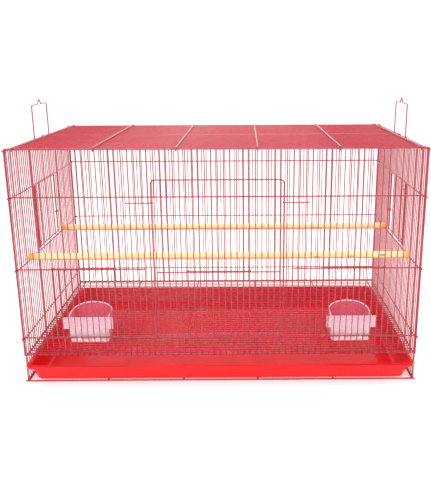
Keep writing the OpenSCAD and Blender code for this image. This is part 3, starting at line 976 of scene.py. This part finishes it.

# %% [markdown]
# The feed cups are thin, milky plastic, so light passes into the wall and the red wires
# and tray around it tint it. A little transmission and a little subsurface give the depth
# without making glass of it. The red that shows through is also painted into the colour:
# a painted pink glow grows towards the top and a painted red towards the back, where more
# red lies behind the wall. The bead round the rim is thicker and stays white.

# %% Cup plastic
milky, tree, shader, place = new_material("milky cup plastic")
cloud = noise(tree, place, 60.0, 3)
fine = noise(tree, place, 900.0, 1)
apart = tree.nodes.new("ShaderNodeSeparateXYZ")
tree.links.new(place, apart.inputs["Vector"])
cup_front = -224.8
front_y = at(0, cup_front, 0).y
clouded = ranged(tree, cloud, 0.35, 0.65, 0.0, 1.0)
# Painted show-through light: the colour is painted pink towards the top and red towards the back.
painted_pink_share = ranged(tree, apart.outputs["Z"], 90 * MM, 132 * MM, 0.0, 0.6)
painted_red_share = ranged(tree, apart.outputs["Y"], front_y + 10 * MM, front_y + 50 * MM, 0.0, 0.9)
white = mixed(tree, clouded, (0.98, 0.88, 0.91), (0.96, 0.84, 0.88))
white = mixed(tree, painted_pink_share, white, (0.95, 0.50, 0.66))
painted_show_through = mixed(tree, painted_red_share, white, (0.90, 0.14, 0.24))
tree.links.new(painted_show_through, shader.inputs["Base Color"])
tree.links.new(ranged(tree, cloud, 0.3, 0.7, 0.22, 0.30), shader.inputs["Roughness"])
bump(tree, shader, fine, 0.1, 0.00002)
shader.inputs["Transmission Weight"].default_value = 0.35
shader.inputs["IOR"].default_value = 1.3
shader.inputs["Subsurface Weight"].default_value = 0.2
shader.inputs["Subsurface Radius"].default_value = (0.01, 0.006, 0.006)

white_rim, tree, shader, place = new_material("white cup rim")
tree.links.new(mixed(tree, noise(tree, place, 90.0, 2), (0.94, 0.90, 0.89), (0.88, 0.84, 0.83)),
               shader.inputs["Base Color"])
shader.inputs["Roughness"].default_value = 0.3

# %% [markdown]
# A cup is drawn up from its bottom: a rounded sheet is extruded into walls, the top edge
# is moved to the real outline, low in front and arched behind, and Solidify gives the
# thickness inwards. A copy of that edge becomes a curve with a round section, which is
# the rim's bead. Two ears at the front corners stop the cup from turning between the
# uprights, and two tabs hook over the low rail.

# %% Feed cups
cup_floor = 80.0
cup_w, cup_l, taper, wall_t = 80.0, 60.0, 4.0, 1.8
front_h, back_h, arch = 53.0, 65.0, 10.0
bead_r = 1.2
straight_front, swing_share = 8, 0.55
foot_h = 3
longest_edge, extra_cuts = 25, 8
ear_in, ear_out, ear_h = 3, 8, 24
tab_half, tab_t, tab_h = 2.5, 1.5, 6


def rim_height(x, y):
    """The side walls swing up to the back, whose top is an arch."""
    t = min(max((y - straight_front) / (cup_l * swing_share), 0), 1)
    swing = front_h + (back_h - front_h) * (1 - math.cos(math.pi * t)) / 2
    return min(swing, back_h - arch * (2 * x / cup_w) ** 2)


def cup_scale(by):
    """The scale that takes the cup's outline in by a distance on every side."""
    return ((cup_w - 2 * by) / cup_w, (cup_l - 2 * by) / cup_l, 1)


def rim_bead(body, middle):
    """A round bead along the body's open top edge, a little inside its outer face."""
    pick(body)
    bpy.ops.object.mode_set(mode="EDIT")
    bpy.ops.mesh.select_mode(type="EDGE")
    bpy.ops.mesh.select_all(action="DESELECT")
    bpy.ops.mesh.select_non_manifold()
    bpy.ops.mesh.duplicate()
    bpy.ops.mesh.separate(type="SELECTED")
    bpy.ops.object.mode_set(mode="OBJECT")
    rim = [o for o in bpy.context.selected_objects if o != body][0]
    pick(rim)
    bpy.ops.object.mode_set(mode="EDIT")
    bpy.ops.mesh.select_all(action="SELECT")
    bpy.ops.transform.resize(value=cup_scale(bead_r), center_override=middle)
    bpy.ops.transform.translate(value=(0, 0, -bead_r * MM))
    bpy.ops.object.mode_set(mode="OBJECT")
    bpy.ops.object.convert(target="CURVE")
    rim.data.bevel_depth = bead_r * MM
    rim.data.bevel_resolution = 3
    bpy.ops.object.convert(target="MESH")
    return bpy.context.object


def plate(corner_low, corner_high, rounding):
    """A thin plate between two points, with rounded corners."""
    deselect()
    a, b = at(*corner_low), at(*corner_high)
    bpy.ops.mesh.primitive_cube_add(size=1, location=(a + b) / 2)
    made = bpy.context.object
    made.scale = b - a
    keep_place()
    soft = made.modifiers.new("Corners", "BEVEL")
    soft.width = rounding * MM
    soft.segments = 3
    apply(made)
    return made


def round_corners(body, middle, behind, radius, segments):
    """Rounds the two corners of the cup's sheet that lie behind its middle, or in front."""
    bpy.ops.mesh.select_mode(type="VERT")
    bpy.ops.mesh.select_all(action="DESELECT")
    bpy.ops.object.mode_set(mode="OBJECT")
    for v in body.data.vertices:
        x, y = abs(v.co.x - middle.x), abs(v.co.y - middle.y)
        sharp = abs(x - cup_w / 2 * MM) < 1e-5 and abs(y - cup_l / 2 * MM) < 1e-5
        v.select = sharp and (v.co.y > middle.y) == behind
    bpy.ops.object.mode_set(mode="EDIT")
    bpy.ops.mesh.bevel(affect="VERTICES", offset=radius * MM, segments=segments)


def drawn_up(height, taper_from, taper_to, middle):
    """Extrudes the cup's face up, and widens it as the taper lessens."""
    bpy.ops.mesh.extrude_region_move(TRANSFORM_OT_translate={"value": (0, 0, height * MM)})
    grow = [a / b for a, b in zip(cup_scale(taper_to), cup_scale(taper_from))]
    bpy.ops.transform.resize(value=grow, center_override=middle)


def cup(side, node):
    x0 = side * feeder_middle * pitch_x
    middle = at(x0, cup_front + cup_l / 2, cup_floor)
    deselect()
    bpy.ops.mesh.primitive_plane_add(size=1, location=middle)
    body = bpy.context.object
    body.scale = (cup_w * MM, cup_l * MM, 1)
    keep_place()
    bpy.ops.object.mode_set(mode="EDIT")
    round_corners(body, middle, True, 20, 10)
    round_corners(body, middle, False, 5, 4)
    faces_where(lambda c, n: True)
    bpy.ops.transform.resize(value=cup_scale(taper), center_override=middle)
    drawn_up(foot_h, taper, taper / 2, middle)
    drawn_up(back_h - foot_h, taper / 2, 0, middle)
    bpy.ops.mesh.delete(type="FACE")
    # more columns along the walls, so that the top edge can follow its curve
    edges_where(lambda a, b: max(abs(a.y - b.y), abs(a.x - b.x)) > longest_edge * MM)
    bpy.ops.mesh.subdivide(number_cuts=extra_cuts)
    bpy.ops.object.mode_set(mode="OBJECT")
    for v in body.data.vertices:
        up = v.co.z - middle.z
        if up > (back_h - 1) * MM:
            v.co.z = middle.z + rim_height(
                (v.co.x - middle.x) / MM, (v.co.y - middle.y) / MM + cup_l / 2) * MM
    bpy.ops.object.mode_set(mode="EDIT")
    bpy.ops.mesh.select_all(action="SELECT")
    bpy.ops.mesh.normals_make_consistent(inside=False)
    bpy.ops.object.mode_set(mode="OBJECT")
    bottom = min(body.data.polygons, key=lambda f: f.center.z)
    if bottom.normal.z > 0:
        body.data.flip_normals()
    rim = rim_bead(body, middle)
    shell = body.modifiers.new("Wall", "SOLIDIFY")
    shell.thickness = wall_t * MM
    shell.offset = -1
    soft = body.modifiers.new("Soft edges", "BEVEL")
    soft.width = 0.5 * MM
    soft.segments = 2
    soft.limit_method = "ANGLE"
    soft.angle_limit = math.radians(50)
    apply(body)
    parts = [body]
    over = levels[1] + rail / 2 + slide_gap - cup_floor
    out = rail + 2 * slide_gap
    inside, ear_top = cup_front + wall_t, cup_floor + front_h
    for s in (-1, 1):
        ear_x = sorted((x0 + s * (cup_w / 2 - ear_in), x0 + s * (cup_w / 2 + ear_out)))
        parts.append(plate((ear_x[0], cup_front, ear_top - ear_h),
                           (ear_x[1], inside, ear_top), 0.8))
        low_x, high_x = (x0 + s * 1.5 * pitch_x + t * tab_half for t in (-1, 1))
        hook_y = cup_front - out
        z = cup_floor + over
        parts.append(plate((low_x, hook_y, z), (high_x, inside, z + tab_t), 0.4))
        parts.append(plate((low_x, hook_y - tab_t, z - tab_h), (high_x, hook_y, z + tab_t), 0.4))
    rim.name = rim.data.name = node + "_rim"
    settle(rim, node, node, white_rim)
    return settle(joined(node + "_shell", parts), node, node, milky, 50)


cup(-1, "cup_left")
cup(1, "cup_right")
